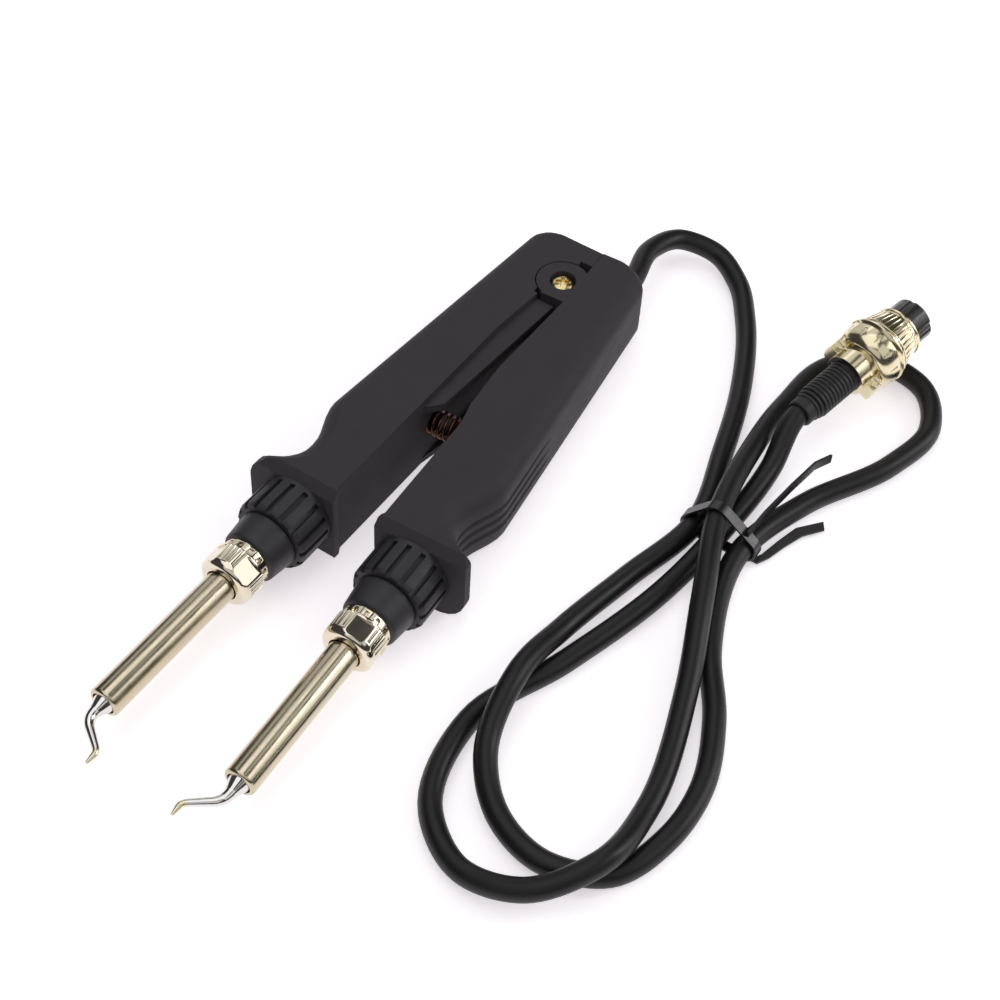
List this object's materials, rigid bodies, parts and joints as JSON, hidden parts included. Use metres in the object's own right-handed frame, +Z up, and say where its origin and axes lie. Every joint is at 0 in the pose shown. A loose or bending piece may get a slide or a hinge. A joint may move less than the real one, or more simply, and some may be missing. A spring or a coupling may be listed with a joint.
{
  "type": "soldering tweezers",
  "caption": "Spring-opened hot tweezers: hinged black grip arms, each with a steel heater barrel and a bent tip, on a tied cord that ends in a round metal plug.",
  "frame": {"origin": "on the table under the middle of the tool's length from tips to rear, cord left out", "axes": "+Y from the tips to the cord end, +Z up from the table, +X towards the arm that carries the cord"},
  "size_m": [0.1315, 0.2256, 0.0233],
  "materials": {
    "shell": "satin black moulded plastic with a fine spark texture",
    "sleeve_plastic": "satin black heat-resistant plastic",
    "collar_plastic": "satin black moulded plastic, ribbed for grip",
    "nickel": "bright nickel plate with a warm tint",
    "barrel_steel": "drawn stainless steel with a warm grey cast",
    "tip_plate": "bright plated iron, tinned at the foot",
    "ceramic": "off-white fired ceramic",
    "lead_sleeve": "pale woven sleeving over fine wire",
    "fastener": "zinc-plated steel",
    "pivot_brass": "pale yellow passivated plate, polished by use",
    "spring_wire": "heat-tinted brown spring wire",
    "rubber": "matt black moulded rubber",
    "cord_rubber": "satin black cable jacket",
    "tie_plastic": "black flat plastic over wire",
    "insert_plastic": "glossy black moulded plastic",
    "contact_brass": "bright brass sockets"
  },
  "bodies": {
    "right_arm": {"right_upper_shell": "shell", "right_lower_shell": "shell", "right_shell_screws": "fastener", "right_nipple": "sleeve_plastic", "right_collar": "collar_plastic", "right_lock_ring": "nickel", "right_barrel": "barrel_steel", "right_heater": "ceramic", "right_tip": "tip_plate", "right_leads": "lead_sleeve", "pivot_screw": "pivot_brass", "pivot_sleeve": "barrel_steel", "pivot_washer": "pivot_brass", "return_spring": "spring_wire", "cord_grommet": "rubber", "cord_ferrule": "barrel_steel", "cord": "cord_rubber", "cord_tie": "tie_plastic", "plug_boot": "rubber", "plug_clamp": "nickel", "plug_clamp_screws": "nickel", "plug_shell": "nickel", "plug_insert": "insert_plastic", "plug_contacts": "contact_brass"},
    "left_arm": {"left_upper_shell": "shell", "left_lower_shell": "shell", "left_shell_screws": "fastener", "left_nipple": "sleeve_plastic", "left_collar": "collar_plastic", "left_lock_ring": "nickel", "left_barrel": "barrel_steel", "left_heater": "ceramic", "left_tip": "tip_plate", "left_leads": "lead_sleeve"},
    "right_nut": {"right_nut": "nickel"},
    "left_nut": {"left_nut": "nickel"},
    "coupling_ring": {"coupling_ring": "nickel"}
  },
  "joints": [
    {"name": "arm_squeeze", "type": "hinge", "parent": "right_arm", "child": "left_arm", "pos_m": [0, 0.07948, 0.0108], "axis": [0, 0, 1], "range_deg": [0, 7], "stiffness_Nm_per_rad": 1.2, "springref_deg": -4.58, "deforming": ["return_spring"]},
    {"name": "right_nut_turn", "type": "hinge", "parent": "right_arm", "child": "right_nut", "pos_m": [0.01684, -0.03632, 0.0108], "axis": [0.0297, -0.9996, 0], "continuous": true},
    {"name": "left_nut_turn", "type": "hinge", "parent": "left_arm", "child": "left_nut", "pos_m": [-0.01684, -0.03632, 0.0108], "axis": [-0.0297, -0.9996, 0], "continuous": true},
    {"name": "coupling_ring_turn", "type": "hinge", "parent": "right_arm", "child": "coupling_ring", "pos_m": [0.0757, 0.1139, 0.0146], "axis": [0.2372, 0.9658, 0.1045], "continuous": true}
  ]
}
